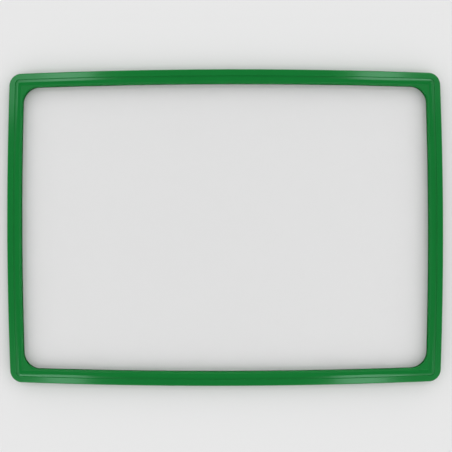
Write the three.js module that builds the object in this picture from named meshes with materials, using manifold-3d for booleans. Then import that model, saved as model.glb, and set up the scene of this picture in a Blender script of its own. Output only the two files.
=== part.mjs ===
// Slide-in poster frame for an A3 sheet, empty, lying on its back with its front face up.
// X runs along the long side, with the insertion slot in the +X short side.
// Z = 0 is the rear face, and the origin is under the middle of the frame. Millimetres.
//
// Two green half shells, both from one mould, meet face to face halfway up. They hold
// a clear pocket, a film folded once across its left end, that the sheet slides into.

import * as THREE from 'three';
import { mergeVertices } from 'three/addons/utils/BufferGeometryUtils.js';
import Module from 'manifold-3d';

const wasm = await Module();
wasm.setup();

// The sheet that goes in, and its pocket, from which the frame takes its length and width
const sheetLength = 420;
const sheetWidth = 297;
const sheetSideMargin = 1.5;
const sheetEndPlay = 0.5;
const filmThickness = 0.5;
const leafGap = 0.75;
const pocketClearance = 0.5;
const pocketRecess = 2;
const mouthMargin = 9.5;

// The moulded rim, outside the channel that the pocket slides in
const rimWidth = 6;
const shellDepth = 5;
const slotHeight = 3;
const mouthChamfer = 0.8;
const channelCornerRadius = 1;

// The moulded face, from the outer edge inwards
const cornerRadius = 12;
const cornerTightening = 1.25;
const seamChamfer = 0.15;
const edgeRadius = 1.2;
const bandWidth = 6.3;
const bandSlope = 0.4;
const bandHeight = 1;
const ledgeWidth = 2.65;
const ledgeCrown = 0.035;
const innerFaceWidth = 3.05;
const innerFaceDrop = 0.5;
const stepWidth = 0.3;
const stepDepth = 0.35;
const lipFlat = 0.4;
const lipRadius = 0.4;
const sightDraft = 0.5;
const mitreRadius = 2;
const sightRadius = 16;

// The hollows that lighten the rim, with the ribs and posts between them
const outerWall = 2;
const channelWall = 2;
const faceWall = 2.2;
const cornerBlock = 14;
const hollowPitch = 41;
const hollowCornerRadius = 0.6;
const ribThickness = 1.6;
const postLength = 5;

// The pegs and sockets that locate one half shell on the other
const pegRadius = 1.2;
const pegHeight = 2.6;
const pegRoot = 0.5;
const pegChamfer = 0.35;
const pegClearance = 0.25;
const cornerPegInset = 9.5;

// Facets of the round stretches. A drawn arc gets two facets for each of its segments.
const cornerSteps = 8;
const edgeSteps = 3;
const ledgeSteps = 4;
const foldSegments = 4;
const hollowSegments = 1;
const pegSegments = 6;
const cutOverrun = 1;

// Sizes that follow from the ones above
const pocketWidth = sheetWidth + 2 * sheetSideMargin;
const channelWidth = pocketWidth + 2 * pocketClearance;
const frameWidth = channelWidth + 2 * rimWidth;
const frameLength = rimWidth + pocketClearance + filmThickness + sheetEndPlay + sheetLength + mouthMargin;
const frameThickness = 2 * shellDepth;
const halfLength = frameLength / 2;
const halfWidth = frameWidth / 2;
const channelFloor = shellDepth - slotHeight / 2;
const channelEnd = -halfLength + rimWidth;
const pocketFold = channelEnd + pocketClearance;
const pocketMouth = halfLength - pocketRecess;
const ledgeStart = bandWidth + bandSlope;
const innerFaceStart = ledgeStart + ledgeWidth;
const stepStart = innerFaceStart + innerFaceWidth;
const lipStart = stepStart + stepWidth;
const lipDepth = bandHeight + innerFaceDrop + stepDepth;
const sightInset = lipStart + lipFlat + lipRadius + sightDraft;

// Moulded plastic and clear film
const greenPlastic = new THREE.MeshStandardMaterial({ color: 0x1f8139, roughness: 0.36, metalness: 0 });
const clearFilm = new THREE.MeshStandardMaterial({
  color: 0xf2f5f4, roughness: 0.3, metalness: 0, transparent: true, opacity: 0.25,
});

// A closed geometry as a solid that can be joined and cut
function toSolid(geometry) {
  const bare = geometry.clone();
  bare.deleteAttribute('normal');
  bare.deleteAttribute('uv');
  const merged = mergeVertices(bare, 1e-4);
  const vertProperties = Float32Array.from(merged.attributes.position.array);
  const triVerts = Uint32Array.from(merged.index.array);
  return new wasm.Manifold(new wasm.Mesh({ numProp: 3, vertProperties, triVerts }));
}

function toGeometry(solid) {
  const { vertProperties, triVerts } = solid.getMesh();
  const geometry = new THREE.BufferGeometry();
  geometry.setAttribute('position', new THREE.BufferAttribute(vertProperties, 3));
  geometry.setIndex(new THREE.BufferAttribute(triVerts, 1));
  geometry.computeVertexNormals();
  return geometry;
}

// Points round a rectangle with rounded corners, inset from the frame's outer edge
function frameLoop({ inset, radius, z }) {
  const x = halfLength - inset - radius;
  const y = halfWidth - inset - radius;
  const centres = [[x, y], [-x, y], [-x, -y], [x, -y]];
  const points = [];
  centres.forEach(([centreX, centreY], quarter) => {
    for (let i = 0; i <= cornerSteps; i += 1) {
      const angle = (quarter + i / cornerSteps) * Math.PI / 2;
      points.push(centreX + radius * Math.cos(angle), centreY + radius * Math.sin(angle), z);
    }
  });
  return points;
}

// A ring lofted through loops of equal count, the last loop joined back to the first
function loftRing(sections) {
  const loops = sections.map(frameLoop);
  const count = loops[0].length / 3;
  const index = [];
  loops.forEach((loop, ring) => {
    const next = (ring + 1) % loops.length;
    for (let i = 0; i < count; i += 1) {
      const j = (i + 1) % count;
      index.push(ring * count + i, next * count + i, next * count + j);
      index.push(ring * count + i, next * count + j, ring * count + j);
    }
  });
  const geometry = new THREE.BufferGeometry();
  geometry.setAttribute('position', new THREE.Float32BufferAttribute(loops.flat(), 3));
  geometry.setIndex(index);
  return geometry;
}

// The corners tighten inwards from the outline until they are nearly mitred
function outerRounding(inset) {
  return Math.max(cornerRadius - inset * cornerTightening, mitreRadius);
}

// Inside the lip the corners open out, which leaves a flat gusset in each corner
function sightRounding(inset) {
  return sightRadius + sightInset - inset;
}

// The ledge inside the raised band as points, a shallow arc with both ends at one level
function ledgePoints() {
  const half = ledgeWidth / 2;
  const radius = (half ** 2 + ledgeCrown ** 2) / (2 * ledgeCrown);
  const halfSweep = Math.asin(half / radius);
  const points = [];
  for (let i = 0; i <= ledgeSteps; i += 1) {
    const tilt = (2 * i / ledgeSteps - 1) * halfSweep;
    points.push({
      inset: ledgeStart + half + radius * Math.sin(tilt),
      z: bandHeight - radius * (Math.cos(tilt) - Math.cos(halfSweep)),
    });
  }
  return points;
}

// The section of a half shell that lies on its face, from the seam round to the seam
function shellSections() {
  const sections = [];
  const addOuter = (inset, z) => sections.push({ inset, radius: outerRounding(inset), z });
  const addSight = (inset, z) => sections.push({ inset, radius: sightRounding(inset), z });
  const addChannel = (z) => sections.push({ inset: rimWidth, radius: channelCornerRadius, z });

  addOuter(seamChamfer, shellDepth);
  addOuter(0, shellDepth - seamChamfer);
  for (let i = 0; i <= edgeSteps; i += 1) {
    const angle = i / edgeSteps * Math.PI / 2;
    addOuter(edgeRadius * (1 - Math.cos(angle)), edgeRadius * (1 - Math.sin(angle)));
  }
  addOuter(bandWidth, 0);
  for (const { inset, z } of ledgePoints()) {
    addOuter(inset, z);
  }
  addOuter(stepStart, bandHeight + innerFaceDrop);
  addOuter(lipStart, lipDepth);

  for (let i = 0; i <= edgeSteps; i += 1) {
    const angle = i / edgeSteps * Math.PI / 2;
    addSight(
      lipStart + lipFlat + lipRadius * Math.sin(angle),
      lipDepth + lipRadius * (1 - Math.cos(angle)),
    );
  }
  addSight(sightInset, channelFloor);
  addChannel(channelFloor);
  addChannel(shellDepth);
  return sections;
}

// A section in X and Z, drawn along Y over the given width and centred on it
function alongWidth(shape, width, curveSegments) {
  const geometry = new THREE.ExtrudeGeometry(shape, { depth: width, bevelEnabled: false, curveSegments });
  geometry.rotateX(Math.PI / 2);
  geometry.translate(0, width / 2, 0);
  return geometry;
}

// The slot through the right side, the full width of the channel, with a sloping lead-in
function slotCut() {
  const slope = mouthChamfer + cutOverrun;
  const shape = new THREE.Shape([
    new THREE.Vector2(halfLength - rimWidth - channelCornerRadius, channelFloor),
    new THREE.Vector2(halfLength - mouthChamfer, channelFloor),
    new THREE.Vector2(halfLength + cutOverrun, channelFloor - slope),
    new THREE.Vector2(halfLength + cutOverrun, shellDepth + cutOverrun),
    new THREE.Vector2(halfLength - rimWidth - channelCornerRadius, shellDepth + cutOverrun),
  ]);
  return toSolid(alongWidth(shape, channelWidth, 1));
}

// A rounded hollow sunk into the rim from the parting plane
function hollowCut(length) {
  const x = length / 2;
  const y = (rimWidth - outerWall - channelWall) / 2;
  const r = Math.min(hollowCornerRadius, x, y);
  const shape = new THREE.Shape();
  shape.moveTo(x, r - y);
  shape.absarc(x - r, y - r, r, 0, Math.PI / 2, false);
  shape.absarc(r - x, y - r, r, Math.PI / 2, Math.PI, false);
  shape.absarc(r - x, r - y, r, Math.PI, 1.5 * Math.PI, false);
  shape.absarc(x - r, r - y, r, 1.5 * Math.PI, 2 * Math.PI, false);
  const depth = shellDepth - faceWall + cutOverrun;
  const geometry = new THREE.ExtrudeGeometry(shape, {
    depth,
    bevelEnabled: false,
    curveSegments: hollowSegments,
  });
  geometry.translate(0, 0, faceWall);
  return geometry;
}

// A row of hollows along one side, as middles and lengths, and the posts that carry a peg
// or a socket. Every second wall between two hollows is a post, and the rest are thin ribs.
function rimRow(sideLength) {
  const run = sideLength - 2 * cornerBlock;
  const count = Math.max(2, Math.round(run / hollowPitch));
  const pitch = run / count;
  const walls = [];
  for (let i = 0; i <= count; i += 1) {
    const fromEnd = Math.min(i, count - i);
    const isEnd = fromEnd === 0;
    const isPost = !isEnd && fromEnd % 2 === 1;
    let half = ribThickness / 2;
    if (isPost) half = postLength / 2;
    if (isEnd) half = 0;
    walls.push({ at: (i - count / 2) * pitch, half, isPost });
  }
  const hollows = walls.slice(1).map((wall, i) => {
    const start = walls[i].at + walls[i].half;
    const end = wall.at - wall.half;
    return { middle: (start + end) / 2, length: end - start };
  });
  const posts = walls.filter((wall) => wall.isPost).map((wall) => wall.at);
  return { hollows, posts };
}

const hollowInset = outerWall + (rimWidth - outerWall - channelWall) / 2;
const postInset = rimWidth / 2;

function rimHollows() {
  const cuts = [];
  for (const { middle, length } of rimRow(frameLength).hollows) {
    for (const side of [-1, 1]) {
      cuts.push(hollowCut(length).translate(middle, side * (halfWidth - hollowInset), 0));
    }
  }
  for (const { middle, length } of rimRow(frameWidth).hollows) {
    cuts.push(hollowCut(length).rotateZ(Math.PI / 2).translate(hollowInset - halfLength, middle, 0));
  }
  return cuts.map(toSolid);
}

// Peg places on the +Y half of a shell. Its sockets lie opposite, at the same places on -Y,
// so the second shell, turned over about X, meets every peg with a socket.
function pegPlaces() {
  const sideY = halfWidth - postInset;
  const cornerX = halfLength - cornerPegInset;
  const onLongSide = [-cornerX, ...rimRow(frameLength).posts, cornerX].map((x) => [x, sideY]);
  const onLeftSide = rimRow(frameWidth).posts.filter((y) => y > 0).map((y) => [postInset - halfLength, y]);
  return [...onLongSide, ...onLeftSide];
}

function roundShape(radius) {
  const shape = new THREE.Shape();
  shape.absarc(0, 0, radius, 0, 2 * Math.PI, false);
  return shape;
}

function peg([x, y]) {
  const geometry = new THREE.ExtrudeGeometry(roundShape(pegRadius - pegChamfer), {
    depth: pegHeight + pegRoot - 2 * pegChamfer,
    bevelThickness: pegChamfer,
    bevelSize: pegChamfer,
    bevelSegments: 1,
    curveSegments: pegSegments,
  });
  geometry.translate(x, y, shellDepth - pegRoot + pegChamfer);
  return toSolid(geometry);
}

function socketCut([x, y]) {
  const depth = pegHeight + pegClearance;
  const geometry = new THREE.ExtrudeGeometry(roundShape(pegRadius + pegClearance), {
    depth: depth + cutOverrun,
    bevelEnabled: false,
    curveSegments: pegSegments,
  });
  geometry.translate(x, -y, shellDepth - depth);
  return toSolid(geometry);
}

// One half shell, lying on its face
function halfShell() {
  let shell = toSolid(loftRing(shellSections()));
  const cuts = [slotCut(), ...rimHollows(), ...pegPlaces().map(socketCut)];
  for (const cut of cuts) {
    shell = shell.subtract(cut);
  }
  for (const place of pegPlaces()) {
    shell = shell.add(peg(place));
  }
  return toGeometry(shell);
}

// The same moulding turned over about X, to close on the one below
function turnedOver(geometry) {
  const turn = new THREE.Matrix4().makeScale(1, -1, -1);
  turn.setPosition(0, 0, frameThickness);
  return geometry.clone().applyMatrix4(turn);
}

// A film folded once into two leaves, open at the mouth and along both long sides. The gap
// between the leaves takes a card of up to half a millimetre thick.
function pocket() {
  const outer = (2 * filmThickness + leafGap) / 2;
  const inner = leafGap / 2;
  const middle = channelFloor + outer;
  const foldX = pocketFold + outer;
  const shape = new THREE.Shape();
  shape.moveTo(pocketMouth, middle - outer);
  shape.lineTo(pocketMouth, middle - inner);
  shape.absarc(foldX, middle, inner, 1.5 * Math.PI, Math.PI / 2, true);
  shape.lineTo(pocketMouth, middle + inner);
  shape.lineTo(pocketMouth, middle + outer);
  shape.absarc(foldX, middle, outer, Math.PI / 2, 1.5 * Math.PI, false);
  return alongWidth(shape, pocketWidth, foldSegments);
}

function piece(name, geometry, material) {
  const mesh = new THREE.Mesh(geometry, material);
  mesh.name = name;
  return mesh;
}

const moulding = halfShell();
const posterFrame = new THREE.Group();
posterFrame.add(piece('rear_frame', moulding, greenPlastic));
posterFrame.add(piece('front_frame', turnedOver(moulding), greenPlastic));
posterFrame.add(piece('clear_pocket', pocket(), clearFilm));

export default posterFrame;
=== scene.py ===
import math

import bmesh
import bpy
import numpy as np
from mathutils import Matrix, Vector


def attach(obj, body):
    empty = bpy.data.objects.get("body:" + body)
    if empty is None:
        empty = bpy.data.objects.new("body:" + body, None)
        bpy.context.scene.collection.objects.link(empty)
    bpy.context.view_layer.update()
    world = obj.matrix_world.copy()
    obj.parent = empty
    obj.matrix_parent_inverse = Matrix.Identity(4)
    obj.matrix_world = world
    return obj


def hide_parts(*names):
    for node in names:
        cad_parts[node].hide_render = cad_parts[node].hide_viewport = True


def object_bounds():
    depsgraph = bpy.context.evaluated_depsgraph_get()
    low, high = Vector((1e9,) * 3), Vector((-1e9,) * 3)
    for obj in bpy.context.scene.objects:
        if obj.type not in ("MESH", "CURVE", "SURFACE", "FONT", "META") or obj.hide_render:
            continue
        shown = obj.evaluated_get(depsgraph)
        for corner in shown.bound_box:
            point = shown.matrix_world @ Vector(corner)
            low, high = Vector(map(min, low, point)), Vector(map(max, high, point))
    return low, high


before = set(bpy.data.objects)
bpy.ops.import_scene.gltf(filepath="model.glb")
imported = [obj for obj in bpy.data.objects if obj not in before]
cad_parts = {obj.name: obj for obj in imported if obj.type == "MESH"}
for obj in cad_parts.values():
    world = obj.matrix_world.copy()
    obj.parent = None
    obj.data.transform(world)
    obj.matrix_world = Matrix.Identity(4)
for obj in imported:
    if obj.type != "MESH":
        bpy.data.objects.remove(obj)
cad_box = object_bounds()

# The camera
# It looks straight down on the frame, the picture's top towards +Y. The photograph's lens
# bows the straight edges outwards a little, and a polynomial lens gives the same bow.
HALF_ANGLE = 0.4
LENS_BOW = 0.0334
LENS_SAMPLES = 60
LENS_REACH = 0.75
SENSOR = 36.0
CAMERA_PLACE = (0.0009, 0.0016, 0.5460)
CAMERA_ROLL = -0.0024

camera_data = bpy.data.cameras.new("camera")
camera_data.type = "PANO"
camera_data.panorama_type = "FISHEYE_LENS_POLYNOMIAL"
camera_data.sensor_fit = "HORIZONTAL"
camera_data.sensor_width = SENSOR
camera_data.sensor_height = SENSOR
camera_data.fisheye_fov = math.pi

# The lens's polynomial gives the angle of a ray from the place it meets on the sensor
half_sensor = SENSOR / 2
sensor_radius = np.linspace(0.0, SENSOR * LENS_REACH, LENS_SAMPLES)
straight_radius = sensor_radius * (1 + LENS_BOW * (sensor_radius / half_sensor) ** 2)
ray_angle = np.arctan(straight_radius / (half_sensor * (1 + LENS_BOW)) * math.tan(HALF_ANGLE))
powers = np.stack([sensor_radius ** n for n in (1, 2, 3, 4)], axis=1)
lens_terms = np.linalg.lstsq(powers, ray_angle, rcond=None)[0]
camera_data.fisheye_polynomial_k0 = 0.0
camera_data.fisheye_polynomial_k1 = -lens_terms[0]
camera_data.fisheye_polynomial_k2 = -lens_terms[1]
camera_data.fisheye_polynomial_k3 = -lens_terms[2]
camera_data.fisheye_polynomial_k4 = -lens_terms[3]

camera = bpy.data.objects.new("camera", camera_data)
camera.location = CAMERA_PLACE
camera.rotation_euler = (0.0, 0.0, CAMERA_ROLL)
bpy.context.scene.collection.objects.link(camera)
bpy.context.scene.camera = camera
bpy.context.scene.view_settings.view_transform = "Standard"

# The two half shells
# Both come from one mould in green plastic: a raised outer band, a narrow crowned ledge, a
# smooth inner face and a lip, and behind them the channel that the pocket slides in. Each
# is lofted from the seam over the face and round the lip and the channel, back to the seam.
MM = 0.001
FRAME_LENGTH = (cad_box[1] - cad_box[0]).x
FRAME_WIDTH = (cad_box[1] - cad_box[0]).y
FRAME_THICKNESS = (cad_box[1] - cad_box[0]).z
SEAM = FRAME_THICKNESS / 2
SEAM_CHAMFER = 0.15 * MM
SLOT_HEIGHT = 3.0 * MM
CHANNEL_FLOOR = SEAM - SLOT_HEIGHT / 2
RIM_WIDTH = 6.0 * MM
CHANNEL_CORNER = 1.0 * MM
MOUTH_CHAMFER = 0.8 * MM
OUTER_CORNER = 12.0 * MM
SIGHT_CORNER = 16.0 * MM
MITRE = 0.35 * MM
EDGE_RADIUS = 1.2 * MM
CORNER_TIGHTENING = 1.25

# The face from its outer edge inwards: insets from that edge and depths below the band
BAND_END = 6.3 * MM
BAND_EDGE_RADIUS = 0.2 * MM
LEDGE_START = 6.7 * MM
LEDGE_DEPTH = 1.0 * MM
LEDGE_END = 9.35 * MM
LEDGE_CROWN = 0.035 * MM
LEDGE_RISE = 0.09 * MM
STEP_START = 12.4 * MM
STEP_TOP = 1.5 * MM
LIP_START = 12.7 * MM
LIP_DEPTH = 1.85 * MM
LIP_EDGE = 13.5 * MM
LIP_RADIUS = 0.4 * MM
SIGHT_INSET = 14.0 * MM

# How finely the moulding is divided, and where long flats are held
CORNER_FACETS = 20
ROUND_STEPS = 5
LEDGE_STEPS = 8
HOLD = 0.12 * MM
LONG_RUN = 5 * HOLD
LOOP_GAP = 20.0 * MM
GUSSET_SLOT = 1

# The cut for the slot, and how its mouth's edges are found
SLOT_CUT_RUN = 12.0 * MM
SLOT_CUT_RISE = 4.0 * MM
MOUTH_REACH = 4.0 * MM
MOUTH_SEGMENTS = 2
SQUARE_EDGE = 1.0
TOUCH = 1e-6
SMOOTH_UP_TO = math.radians(32)


def filleted(corners):
    """Turns corners (inset, depth, radius) into points, with an arc at each rounded corner."""
    points = [corners[0][:2]]
    for before, corner, after in zip(corners, corners[1:], corners[2:]):
        place = np.array(corner[:2])
        radius = corner[2]
        if radius == 0:
            points.append(tuple(place))
            continue
        back = np.array(before[:2]) - place
        ahead = np.array(after[:2]) - place
        back /= np.linalg.norm(back)
        ahead /= np.linalg.norm(ahead)
        half = math.acos(np.clip(back @ ahead, -1, 1)) / 2
        reach = radius / math.tan(half)
        middle = place + (back + ahead) / np.linalg.norm(back + ahead) * radius / math.sin(half)
        start = place + back * reach - middle
        end = place + ahead * reach - middle
        sweep = math.pi - 2 * half
        for i in range(ROUND_STEPS + 1):
            share = i / ROUND_STEPS
            arm = math.sin((1 - share) * sweep) * start + math.sin(share * sweep) * end
            points.append(tuple(middle + arm / math.sin(sweep)))
    points.append(corners[-1][:2])
    return points


def held(points):
    """Adds a point just inside each end of every long straight run, so that flats stay flat."""
    out = [points[0]]
    for a, b in zip(points, points[1:]):
        run = math.dist(a, b)
        if run > LONG_RUN:
            step = (np.array(b) - np.array(a)) / run * HOLD
            out.append(tuple(np.array(a) + step))
            out.append(tuple(np.array(b) - step))
        out.append(b)
    return out


def ledge_points():
    """The crowned ledge as points: a shallow arc that rises a little towards its inner end."""
    half = (LEDGE_END - LEDGE_START) / 2
    radius = (half ** 2 + LEDGE_CROWN ** 2) / (2 * LEDGE_CROWN)
    half_sweep = math.asin(half / radius)
    points = []
    for i in range(LEDGE_STEPS + 1):
        tilt = (2 * i / LEDGE_STEPS - 1) * half_sweep
        rise = radius * (math.cos(tilt) - math.cos(half_sweep))
        place = half + radius * math.sin(tilt)
        rise += LEDGE_RISE * place / (2 * half)
        points.append((LEDGE_START + place, LEDGE_DEPTH - rise))
    return points


# The section, as insets from the outer edge and depths below the face, with fillet radii
outer_side = filleted([
    (SEAM_CHAMFER, SEAM, 0),
    (0.0, SEAM - SEAM_CHAMFER, 0),
    (0.0, 0.0, EDGE_RADIUS),
    (BAND_END, 0.0, BAND_EDGE_RADIUS),
    (LEDGE_START, LEDGE_DEPTH, 0),
])
sight_side = filleted([
    (LIP_START + HOLD, LIP_DEPTH, 0),
    (LIP_EDGE, LIP_DEPTH, LIP_RADIUS),
    (SIGHT_INSET, CHANNEL_FLOOR, 0),
])
channel_side = [(RIM_WIDTH, CHANNEL_FLOOR), (RIM_WIDTH, SEAM)]
inner_face = [(LEDGE_END, LEDGE_DEPTH - LEDGE_RISE), (STEP_START, STEP_TOP), (LIP_START, LIP_DEPTH)]

# Each station of the loft is a loop round the frame: its inset, depth and corner radius. The
# outer corners tighten inwards to a mitre, and a flat gusset joins each to the round sight.
stations = []
for inset, depth in held(outer_side)[:-1] + ledge_points() + held(inner_face)[1:]:
    stations.append((inset, depth, max(OUTER_CORNER - inset * CORNER_TIGHTENING, MITRE)))
gusset_start = len(stations) - 1
for inset, depth in held(sight_side):
    stations.append((inset, depth, SIGHT_CORNER + SIGHT_INSET - inset))
for inset, depth in channel_side:
    stations.append((inset, depth, CHANNEL_CORNER))


def new_piece(name):
    """An empty mesh object at the origin, open in edit mode."""
    bpy.ops.object.select_all(action="DESELECT")
    bpy.ops.mesh.primitive_plane_add(size=1, location=(0, 0, 0))
    piece = bpy.context.object
    piece.name = name
    piece.data.name = name
    bpy.ops.object.mode_set(mode="EDIT")
    bpy.ops.mesh.delete(type="VERT")
    return piece


def add_loop(piece, inset, height, radius):
    """Adds a rectangle with rounded corners to the open piece and returns its vertex numbers."""
    first = len(bmesh.from_edit_mesh(piece.data).verts)
    bpy.ops.mesh.primitive_plane_add(size=1, location=(0, 0, height))
    size = (FRAME_LENGTH - 2 * inset, FRAME_WIDTH - 2 * inset, 1)
    bpy.ops.transform.resize(value=size, center_override=(0, 0, height))
    bpy.ops.mesh.bevel(
        offset_type="OFFSET", offset=radius, segments=CORNER_FACETS, profile=0.5,
        affect="VERTICES", clamp_overlap=False,
    )
    bpy.ops.mesh.delete(type="ONLY_FACE")
    return range(first, len(bmesh.from_edit_mesh(piece.data).verts))


def pick(piece, *groups):
    """Selects the numbered vertices of the open piece, and nothing else."""
    bpy.ops.mesh.select_all(action="DESELECT")
    shape = bmesh.from_edit_mesh(piece.data)
    shape.verts.ensure_lookup_table()
    for group in groups:
        for i in group:
            shape.verts[i].select = True
    shape.select_flush(True)
    bmesh.update_edit_mesh(piece.data)


# The loops are bridged while they stand well apart, then each is moved to its own depth. The
# bridge that makes the flat gussets in the corners gets the grained finish.
rear_shell = new_piece("rear_shell")
bpy.ops.object.mode_set(mode="OBJECT")
bpy.ops.object.material_slot_add()
bpy.ops.object.material_slot_add()
bpy.ops.object.mode_set(mode="EDIT")
loops = []
for i, (inset, depth, radius) in enumerate(stations):
    loops.append(add_loop(rear_shell, inset, i * LOOP_GAP, radius))
for i, loop in enumerate(loops):
    pick(rear_shell, loop, loops[(i + 1) % len(loops)])
    bpy.ops.mesh.bridge_edge_loops()
    if i == gusset_start:
        rear_shell.active_material_index = GUSSET_SLOT
        bpy.ops.object.material_slot_assign()
for i, loop in enumerate(loops):
    pick(rear_shell, loop)
    depth = stations[i][1]
    bpy.ops.transform.translate(value=(0, 0, depth - i * LOOP_GAP))
bpy.ops.mesh.select_all(action="SELECT")
bpy.ops.mesh.normals_make_consistent(inside=False)
bpy.ops.object.mode_set(mode="OBJECT")

# The slot is cut through the right side, over the whole width of the channel
slot_cutter = new_piece("slot_cutter")
bpy.ops.mesh.primitive_cube_add(size=1, location=(0, 0, 0))
slot_from = FRAME_LENGTH / 2 - RIM_WIDTH - CHANNEL_CORNER
bpy.ops.transform.resize(
    value=(SLOT_CUT_RUN, FRAME_WIDTH - 2 * RIM_WIDTH, SLOT_CUT_RISE), center_override=(0, 0, 0)
)
bpy.ops.transform.translate(
    value=(slot_from + SLOT_CUT_RUN / 2, 0, CHANNEL_FLOOR + SLOT_CUT_RISE / 2)
)
bpy.ops.object.mode_set(mode="OBJECT")

bpy.ops.object.select_all(action="DESELECT")
rear_shell.select_set(True)
bpy.context.view_layer.objects.active = rear_shell
slot = rear_shell.modifiers.new("slot", "BOOLEAN")
slot.operation = "DIFFERENCE"
slot.solver = "EXACT"
slot.object = slot_cutter
bpy.ops.object.modifier_apply(modifier="slot")
bpy.data.objects.remove(slot_cutter)

# The slot's mouth has a sloping lead-in
bpy.ops.object.mode_set(mode="EDIT")
bpy.ops.mesh.select_all(action="DESELECT")
bpy.context.tool_settings.mesh_select_mode = (False, True, False)
shape = bmesh.from_edit_mesh(rear_shell.data)
for edge in shape.edges:
    low = all(abs(vert.co.z - CHANNEL_FLOOR) < TOUCH for vert in edge.verts)
    outside = all(vert.co.x > FRAME_LENGTH / 2 - MOUTH_REACH for vert in edge.verts)
    between = all(abs(vert.co.y) < FRAME_WIDTH / 2 - RIM_WIDTH + TOUCH for vert in edge.verts)
    square = not edge.is_boundary and edge.calc_face_angle(0) > SQUARE_EDGE
    edge.select = low and outside and between and square
shape.select_flush_mode()
bmesh.update_edit_mesh(rear_shell.data)
bpy.ops.mesh.bevel(
    offset_type="OFFSET", offset=MOUTH_CHAMFER, segments=MOUTH_SEGMENTS, affect="EDGES",
)
bpy.context.tool_settings.mesh_select_mode = (True, False, False)
bpy.ops.object.mode_set(mode="OBJECT")
bpy.ops.object.shade_smooth_by_angle(angle=SMOOTH_UP_TO)

# The front shell is the same moulding, turned over about its long middle line
bpy.ops.object.duplicate()
front_shell = bpy.context.object
front_shell.name = "front_shell"
front_shell.data.name = "front_shell"
bpy.ops.object.mode_set(mode="EDIT")
bpy.ops.mesh.select_all(action="SELECT")
bpy.ops.transform.rotate(value=math.pi, orient_axis="X", center_override=(0, 0, SEAM))
bpy.ops.object.mode_set(mode="OBJECT")


def surface_group():
    """A node group for a moulded or rolled surface: tint, roughness and height that vary."""
    group = bpy.data.node_groups.new("surface_variation", "ShaderNodeTree")
    for name, default in (
        ("Patch Size", 0.05),
        ("Grain Size", 0.0004),
        ("Tint Range", 0.04),
        ("Roughness", 0.3),
        ("Roughness Range", 0.05),
    ):
        socket = group.interface.new_socket(name, in_out="INPUT", socket_type="NodeSocketFloat")
        socket.default_value = default
    for name in ("Tint", "Roughness", "Height"):
        group.interface.new_socket(name, in_out="OUTPUT", socket_type="NodeSocketFloat")
    nodes = group.nodes
    link = group.links.new
    inputs = nodes.new("NodeGroupInput")
    outputs = nodes.new("NodeGroupOutput")
    place = nodes.new("ShaderNodeTexCoord")

    def noise(size_socket, detail):
        """A noise pattern whose cells are as large as the socket says, in metres."""
        scale = nodes.new("ShaderNodeMath")
        scale.operation = "DIVIDE"
        scale.inputs[0].default_value = 1.0
        link(inputs.outputs[size_socket], scale.inputs[1])
        texture = nodes.new("ShaderNodeTexNoise")
        texture.inputs["Detail"].default_value = detail
        link(place.outputs["Object"], texture.inputs["Vector"])
        link(scale.outputs[0], texture.inputs["Scale"])
        return texture.outputs["Fac"]

    def spread(factor, middle, width):
        """middle + (factor - 0.5) * 2 * width"""
        centred = nodes.new("ShaderNodeMath")
        centred.operation = "MULTIPLY_ADD"
        centred.inputs[1].default_value = 2.0
        centred.inputs[2].default_value = -1.0
        link(factor, centred.inputs[0])
        out = nodes.new("ShaderNodeMath")
        out.operation = "MULTIPLY_ADD"
        link(centred.outputs[0], out.inputs[0])
        link(width, out.inputs[1])
        if isinstance(middle, float):
            out.inputs[2].default_value = middle
        else:
            link(middle, out.inputs[2])
        return out.outputs[0]

    patches = noise("Patch Size", detail=3.0)
    grain = noise("Grain Size", detail=2.0)
    link(spread(patches, 1.0, inputs.outputs["Tint Range"]), outputs.inputs["Tint"])
    link(
        spread(patches, inputs.outputs["Roughness"], inputs.outputs["Roughness Range"]),
        outputs.inputs["Roughness"],
    )
    link(grain, outputs.inputs["Height"])
    return group


variation = surface_group()


def surface_material(name, colour, finish, relief_depth):
    """A material whose colour, roughness and relief vary through the shared group."""
    material = bpy.data.materials.new(name)
    material.use_nodes = True
    nodes = material.node_tree.nodes
    link = material.node_tree.links.new
    shader = nodes["Principled BSDF"]
    surface = nodes.new("ShaderNodeGroup")
    surface.node_tree = variation
    for key, value in finish.items():
        surface.inputs[key].default_value = value
    tinted = nodes.new("ShaderNodeVectorMath")
    tinted.operation = "SCALE"
    tinted.inputs[0].default_value = colour
    link(surface.outputs["Tint"], tinted.inputs["Scale"])
    link(tinted.outputs[0], shader.inputs["Base Color"])
    link(surface.outputs["Roughness"], shader.inputs["Roughness"])
    relief = nodes.new("ShaderNodeBump")
    relief.inputs["Distance"].default_value = relief_depth
    link(surface.outputs["Height"], relief.inputs["Height"])
    link(relief.outputs["Normal"], shader.inputs["Normal"])
    return material


# The moulding is smooth and glossy. The gussets have a fine grain that mirrors far less.
GREEN = (0.0058, 0.172, 0.029)
GREEN_MIRROR = (0.6, 1.0, 0.8, 1.0)
PLASTIC_INDEX = 1.49
GRAINED_MIRROR = 0.15
SMOOTH_RELIEF = 0.002 * MM
GRAINED_RELIEF = 0.012 * MM
SMOOTH_FINISH = {
    "Patch Size": 0.03, "Grain Size": 0.0005, "Tint Range": 0.05,
    "Roughness": 0.13, "Roughness Range": 0.03,
}
GRAINED_FINISH = {
    "Patch Size": 0.002, "Grain Size": 0.0007, "Tint Range": 0.12,
    "Roughness": 0.25, "Roughness Range": 0.05,
}

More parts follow.
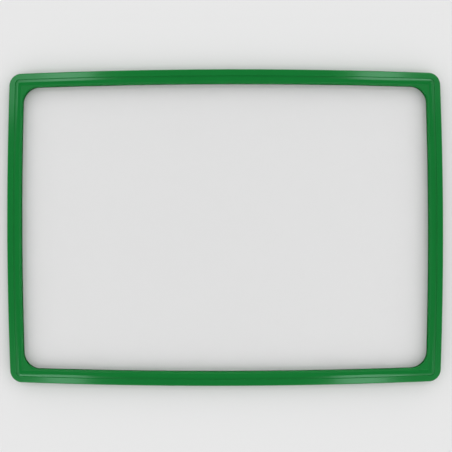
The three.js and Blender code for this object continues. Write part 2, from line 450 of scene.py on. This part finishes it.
green_plastic = surface_material("green_plastic", GREEN, SMOOTH_FINISH, SMOOTH_RELIEF)
grained_green = surface_material("grained_green", GREEN, GRAINED_FINISH, GRAINED_RELIEF)
for material in (green_plastic, grained_green):
    shader = material.node_tree.nodes["Principled BSDF"]
    shader.inputs["IOR"].default_value = PLASTIC_INDEX
    shader.inputs["Specular Tint"].default_value = GREEN_MIRROR
grained_shader = grained_green.node_tree.nodes["Principled BSDF"]
grained_shader.inputs["Specular IOR Level"].default_value = GRAINED_MIRROR
for shell, node in ((rear_shell, "rear_frame"), (front_shell, "front_frame")):
    shell.material_slots[0].material = green_plastic
    shell.material_slots[GUSSET_SLOT].material = grained_green
    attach(shell, "frame")
    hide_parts(node)

# The clear pocket
# One sheet of clear film, half a millimetre thick, folded once across its left end with a
# small round fold. It lies on the rear shell's channel floor and ends just inside the mouth.
# The frame is empty, so the floor shows through both leaves.
FILM = 0.5 * MM
POCKET_CLEARANCE = 0.5 * MM
POCKET_RECESS = 2.0 * MM
LEAF_GAP = 0.75 * MM
POCKET_WIDTH = FRAME_WIDTH - 2 * RIM_WIDTH - 2 * POCKET_CLEARANCE
FOLD_OUTER = (2 * FILM + LEAF_GAP) / 2
FOLD_MIDDLE = FOLD_OUTER - FILM / 2
FOLD_STEPS = 16
fold_x = -FRAME_LENGTH / 2 + RIM_WIDTH + POCKET_CLEARANCE + FOLD_OUTER
mouth_x = FRAME_LENGTH / 2 - POCKET_RECESS
fold_z = CHANNEL_FLOOR + FOLD_OUTER

# The lower leaf's left edge is spun half a turn to the fold, then drawn out to the upper leaf
pocket = new_piece("film_pocket")
bpy.ops.mesh.primitive_plane_add(size=1, location=(0, 0, 0))
bpy.ops.transform.resize(value=(mouth_x - fold_x, POCKET_WIDTH, 1), center_override=(0, 0, 0))
bpy.ops.transform.translate(value=((mouth_x + fold_x) / 2, 0, fold_z - FOLD_MIDDLE))
bpy.ops.mesh.select_all(action="DESELECT")
bpy.context.tool_settings.mesh_select_mode = (False, True, False)
shape = bmesh.from_edit_mesh(pocket.data)
for edge in shape.edges:
    edge.select = all(abs(vert.co.x - fold_x) < TOUCH for vert in edge.verts)
shape.select_flush_mode()
bmesh.update_edit_mesh(pocket.data)
bpy.ops.mesh.spin(
    steps=FOLD_STEPS, angle=-math.pi, center=(fold_x, 0, fold_z), axis=(0, 1, 0),
)
bpy.ops.mesh.extrude_region_move(TRANSFORM_OT_translate={"value": (mouth_x - fold_x, 0, 0)})
bpy.context.tool_settings.mesh_select_mode = (True, False, False)
bpy.ops.mesh.select_all(action="SELECT")
bpy.ops.mesh.remove_doubles(threshold=TOUCH)
bpy.ops.mesh.normals_make_consistent(inside=False)
bpy.ops.object.mode_set(mode="OBJECT")

# The film shows only where it mirrors, more at a slant than from above. From inside the film
# the index is the other way round, or its far side would mirror everything at a slant.
FILM_COLOUR = (0.93, 0.95, 0.95)
FILM_RELIEF = 0.004 * MM
FILM_FINISH = {
    "Patch Size": 0.08, "Grain Size": 0.0003, "Tint Range": 0.01,
    "Roughness": 0.3, "Roughness Range": 0.04,
}
FILM_INDEX = 1.49
FILM_COVER = 0.12

clear_film = surface_material("clear_film", FILM_COLOUR, FILM_FINISH, FILM_RELIEF)
nodes = clear_film.node_tree.nodes
link = clear_film.node_tree.links.new
mirror_share = nodes.new("ShaderNodeFresnel")
side = nodes.new("ShaderNodeNewGeometry")
index = nodes.new("ShaderNodeMath")
index.operation = "MULTIPLY_ADD"
index.inputs[1].default_value = 1 / FILM_INDEX - FILM_INDEX
index.inputs[2].default_value = FILM_INDEX
link(side.outputs["Backfacing"], index.inputs[0])
link(index.outputs[0], mirror_share.inputs["IOR"])
cover = nodes.new("ShaderNodeMath")
cover.operation = "MULTIPLY"
cover.inputs[1].default_value = FILM_COVER
link(mirror_share.outputs[0], cover.inputs[0])
link(cover.outputs[0], nodes["Principled BSDF"].inputs["Alpha"])
pocket.data.materials.append(clear_film)

# The film's cut edges look denser than its faces, as light runs along inside the film
CUT_COLOUR = (0.25, 0.33, 0.33)
CUT_COVER = 0.85
CUT_RELIEF = 0.02 * MM
CUT_FINISH = {
    "Patch Size": 0.01, "Grain Size": 0.0004, "Tint Range": 0.04,
    "Roughness": 0.35, "Roughness Range": 0.05,
}

film_edge = surface_material("film_edge", CUT_COLOUR, CUT_FINISH, CUT_RELIEF)
film_edge.node_tree.nodes["Principled BSDF"].inputs["Alpha"].default_value = CUT_COVER
pocket.data.materials.append(film_edge)

# The leaves and the fold get the film's thickness, half of it on each side. The walls that
# close them take the second material, the one for the cut edges.
wall = pocket.modifiers.new("film", "SOLIDIFY")
wall.thickness = FILM
wall.offset = 0.0
wall.use_even_offset = True
wall.material_offset_rim = 1
bpy.ops.object.modifier_apply(modifier="film")
bpy.ops.object.shade_smooth_by_angle(angle=SMOOTH_UP_TO)
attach(pocket, "pocket")
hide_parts("clear_pocket")

# The floor
# A plain pale matt table top, so wide that its rim lies at the horizon. The frame lies on it
# and leaves a soft shade there.
FLOOR_RADIUS = 40.0
FLOOR_CORNERS = 96
FLOOR_COLOUR = (0.80, 0.80, 0.80, 1.0)
FLOOR_ROUGHNESS = 0.9
FLOOR_MIRROR = 0.0

bpy.ops.object.select_all(action="DESELECT")
bpy.ops.mesh.primitive_circle_add(
    vertices=FLOOR_CORNERS, radius=FLOOR_RADIUS, fill_type="NGON", location=(0, 0, 0),
)
floor = bpy.context.object
floor.name = "floor"
floor_paint = bpy.data.materials.new("floor_paint")
floor_paint.use_nodes = True
floor_shader = floor_paint.node_tree.nodes["Principled BSDF"]
floor_shader.inputs["Base Color"].default_value = FLOOR_COLOUR
floor_shader.inputs["Roughness"].default_value = FLOOR_ROUGHNESS
floor_shader.inputs["Specular IOR Level"].default_value = FLOOR_MIRROR
floor.data.materials.append(floor_paint)

# The light
# Nine soft boxes over the four corners show in the bars as long highlights. The room is dark
# round the camera overhead, so the plastic keeps its deep colour, and brighter towards the
# corners than in between. Low down it ends in a pale backdrop.
BOX_HEIGHT = 1.0
SOFT_BOXES = (
    # x, y, width, length and glow of each box
    (-0.447, 0.470, 0.144, 0.30, 3.6),
    (-0.570, 0.490, 0.102, 0.30, 1.8),
    (-0.640, 0.360, 0.100, 0.12, 1.0),
    (-0.461, -0.470, 0.120, 0.30, 3.5),
    (-0.581, -0.555, 0.120, 0.15, 3.5),
    (0.441, 0.470, 0.133, 0.30, 3.6),
    (0.572, 0.555, 0.130, 0.15, 3.6),
    (0.387, -0.470, 0.146, 0.30, 3.8),
    (0.500, -0.555, 0.080, 0.15, 3.3),
)
OVERHEAD_LIGHT = 0.10
OVERHEAD_EDGE = (math.radians(25), math.radians(30))
BETWEEN_LIGHT = 0.30
CORNER_LIGHT = 1.00
HORIZON_LIGHT = 1.50
HORIZON_LEAN = (0.10, 0.10)
HORIZON_SEEN = 0.71
HORIZON_MIRRORED = 0.80
HORIZON_EDGE = (math.radians(46), math.radians(62))

# A box's power is worked out so that its glow doesn't change with its size
for x, y, width, length, glow in SOFT_BOXES:
    bpy.ops.object.light_add(type="AREA", location=(x, y, BOX_HEIGHT))
    box = bpy.context.object
    box.name = "soft_box"
    box.data.shape = "RECTANGLE"
    box.data.size = width
    box.data.size_y = length
    box.data.energy = glow * math.pi * width * length

world = bpy.data.worlds.new("room")
bpy.context.scene.world = world
world.use_nodes = True
nodes = world.node_tree.nodes
link = world.node_tree.links.new


def room_socket(socket, value):
    """Sets a socket of the room to a number, or links an output to it."""
    if isinstance(value, (int, float)):
        socket.default_value = value
    else:
        link(value, socket)


def room_math(operation, *values):
    """A math node of the room on numbers or outputs, as its output."""
    node = nodes.new("ShaderNodeMath")
    node.operation = operation
    for socket, value in zip(node.inputs, values):
        room_socket(socket, value)
    return node.outputs[0]


def room_blend(edge, height, above, below):
    """One light above a soft edge between two angles from the zenith, another below it."""
    node = nodes.new("ShaderNodeMapRange")
    node.inputs["From Min"].default_value = math.cos(edge[1])
    node.inputs["From Max"].default_value = math.cos(edge[0])
    link(height, node.inputs["Value"])
    room_socket(node.inputs["To Min"], below)
    room_socket(node.inputs["To Max"], above)
    return node.outputs[0]


# The corners' share of the walls' light is 1 half way between the axes and 0 along them. The
# square that it is made from reaches a quarter at most, so it is scaled up.
CORNER_SCALE = 4.0
direction = nodes.new("ShaderNodeTexCoord")
parts = nodes.new("ShaderNodeSeparateXYZ")
link(direction.outputs["Generated"], parts.inputs[0])
along, across, height = parts.outputs
level_part = room_math("SUBTRACT", 1.0, room_math("MULTIPLY", height, height))
diagonal = room_math("DIVIDE", room_math("MULTIPLY", along, across), level_part)
towards_corner = room_math("MULTIPLY", room_math("MULTIPLY", diagonal, diagonal), CORNER_SCALE)
walls = room_math("MULTIPLY_ADD", towards_corner, CORNER_LIGHT, BETWEEN_LIGHT)

# Near the horizon the light that reaches the floor is stronger towards one corner. What the
# camera and mirroring surfaces see there instead is an even backdrop.
lean = room_math("MULTIPLY_ADD", along, HORIZON_LEAN[0], 1.0)
lean = room_math("MULTIPLY_ADD", across, HORIZON_LEAN[1], lean)
unseen = room_math("MULTIPLY", lean, HORIZON_LIGHT)
ray = nodes.new("ShaderNodeLightPath")
straight = room_math("MAXIMUM", ray.outputs["Is Camera Ray"], ray.outputs["Is Transmission Ray"])
mirrored = ray.outputs["Is Glossy Ray"]
backdrop = room_math("MULTIPLY", straight, HORIZON_SEEN)
backdrop = room_math("MAXIMUM", backdrop, room_math("MULTIPLY", mirrored, HORIZON_MIRRORED))
hidden = room_math("SUBTRACT", 1.0, room_math("MAXIMUM", straight, mirrored))
horizon = room_math("MULTIPLY_ADD", unseen, hidden, backdrop)

walls = room_blend(HORIZON_EDGE, height, walls, horizon)
room = room_blend(OVERHEAD_EDGE, height, OVERHEAD_LIGHT, walls)
background = nodes["Background"]
background.inputs["Color"].default_value = (1.0, 1.0, 1.0, 1.0)
link(room, background.inputs["Strength"])
